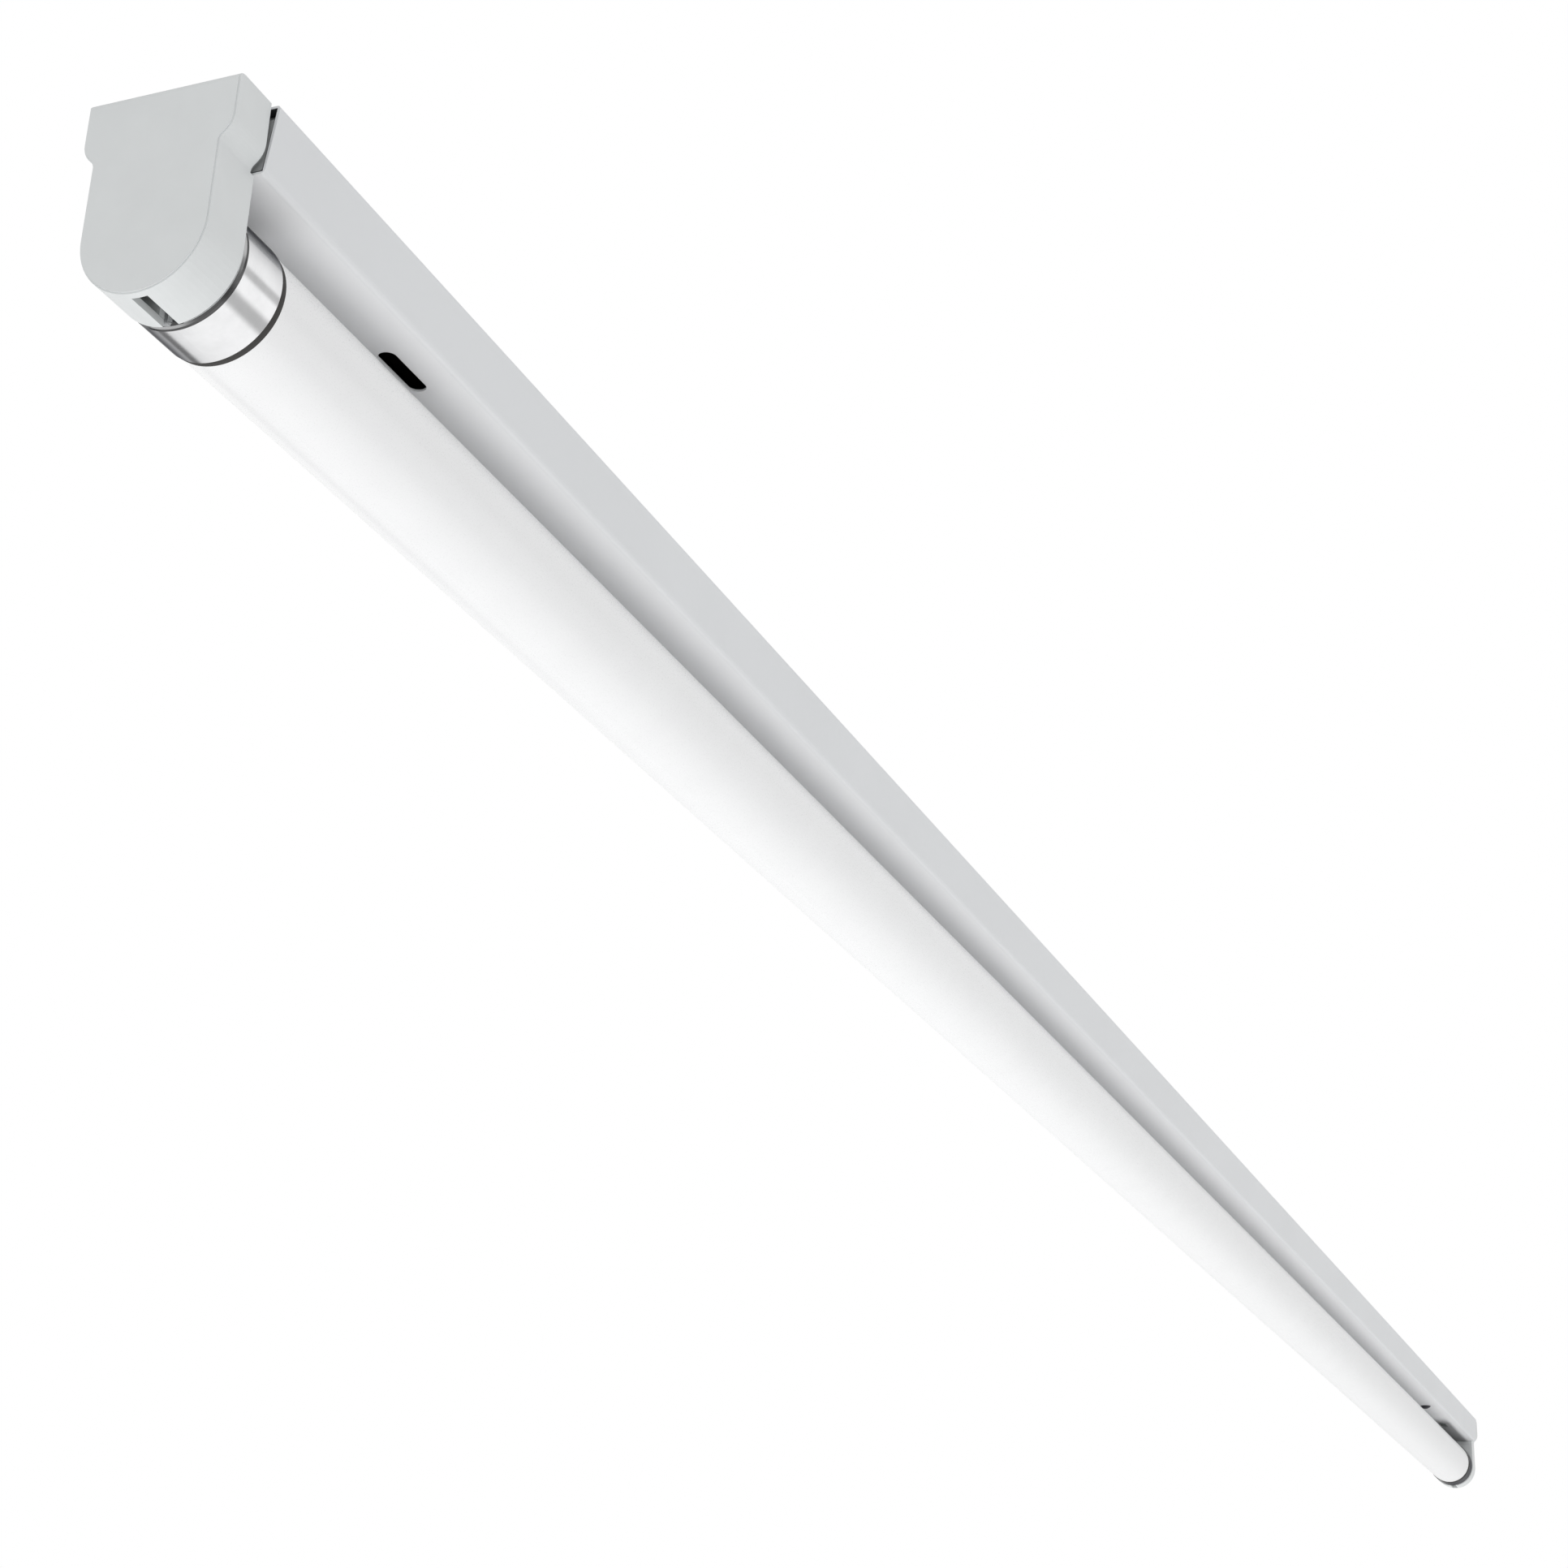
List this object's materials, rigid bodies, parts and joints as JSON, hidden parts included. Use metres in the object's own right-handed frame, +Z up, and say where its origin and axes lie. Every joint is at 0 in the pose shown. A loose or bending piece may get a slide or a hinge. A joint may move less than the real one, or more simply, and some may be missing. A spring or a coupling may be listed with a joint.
{
  "type": "batten light",
  "caption": "Slim white ceiling batten with end lampholders that carry one straight two-pin tube lamp below a folded steel spine, fixed to the ceiling by spring clips.",
  "frame": {"origin": "midway between the two ceiling screws, on the face that meets the ceiling", "axes": "+X along the batten towards the end with the terminal block, +Z up to the ceiling, +Y across"},
  "size_m": [1.524, 0.0342, 0.043],
  "materials": {
    "white_steel": "white powder coat, satin",
    "cap_plastic": "moulded light grey-white polycarbonate",
    "rotor_plastic": "moulded white polycarbonate",
    "nylon": "moulded white nylon",
    "spring_metal": "bent phosphor bronze strip",
    "plated_steel": "zinc plated",
    "clip_steel": "bare spring steel",
    "galvanised": "galvanised steel sheet",
    "block_plastic": "moulded ivory polyamide",
    "insert_brass": "drawn brass",
    "brown_wire": "brown PVC insulation",
    "blue_wire": "blue PVC insulation",
    "earth_wire": "green and yellow PVC insulation",
    "opal_glass": "frosted white coated glass",
    "cap_aluminium": "bright drawn aluminium",
    "sealant": "dark bead of cap cement",
    "insulator": "moulded white disc",
    "pin_brass": "nickel-flashed brass",
    "strip_board": "white solder resist",
    "chip_resin": "yellow phosphor in clear resin",
    "silicone": "white silicone",
    "circuit_board": "green solder resist",
    "coil": "ferrite and taped winding",
    "capacitor": "black sleeve",
    "chip_black": "black epoxy",
    "lead_wire": "red silicone insulation"
  },
  "bodies": {
    "root": {"spine_channel": "white_steel", "end_cap_left": "cap_plastic", "end_cap_right": "cap_plastic", "holder_plate_left": "cap_plastic", "holder_plate_right": "cap_plastic", "contacts_left": "spring_metal", "contacts_right": "spring_metal", "cap_screws": "plated_steel", "base_plate": "galvanised", "ceiling_clip_left": "clip_steel", "ceiling_clip_right": "clip_steel", "terminal_body": "block_plastic", "terminal_inserts": "insert_brass", "terminal_screws": "plated_steel", "terminal_rivets": "plated_steel", "earth_screw": "plated_steel", "earth_washer": "plated_steel", "earth_tag": "plated_steel", "earth_nut": "plated_steel", "live_wire": "brown_wire", "neutral_wire": "blue_wire", "earth_wire": "earth_wire", "wire_clips": "nylon"},
    "lamp": {"lamp_glass": "opal_glass", "lamp_cap_left": "cap_aluminium", "lamp_cap_right": "cap_aluminium", "lamp_sealant_left": "sealant", "lamp_sealant_right": "sealant", "lamp_insulator_left": "insulator", "lamp_insulator_right": "insulator", "lamp_pins_left": "pin_brass", "lamp_pins_right": "pin_brass", "light_strip": "strip_board", "light_chips": "chip_resin", "strip_adhesive": "silicone", "driver_board": "circuit_board", "driver_coil": "coil", "driver_capacitors": "capacitor", "driver_chips": "chip_black", "lamp_leads": "lead_wire"},
    "rotor_left": {"rotor_left": "rotor_plastic"},
    "rotor_right": {"rotor_right": "rotor_plastic"}
  },
  "joints": [
    {"name": "lamp_twist", "type": "hinge", "parent": "root", "child": "lamp", "pos_m": [0, 0, -0.0297], "axis": [1, 0, 0], "range_deg": [0, 90]},
    {"name": "rotor_left_turn", "type": "hinge", "parent": "root", "child": "rotor_left", "pos_m": [0, 0, -0.0297], "axis": [1, 0, 0], "range_deg": [0, 90]},
    {"name": "rotor_right_turn", "type": "hinge", "parent": "root", "child": "rotor_right", "pos_m": [0, 0, -0.0297], "axis": [1, 0, 0], "range_deg": [0, 90]}
  ],
  "couplings": [
    {"joint": "rotor_left_turn", "follows": "lamp_twist", "ratio": 1},
    {"joint": "rotor_right_turn", "follows": "lamp_twist", "ratio": 1}
  ]
}
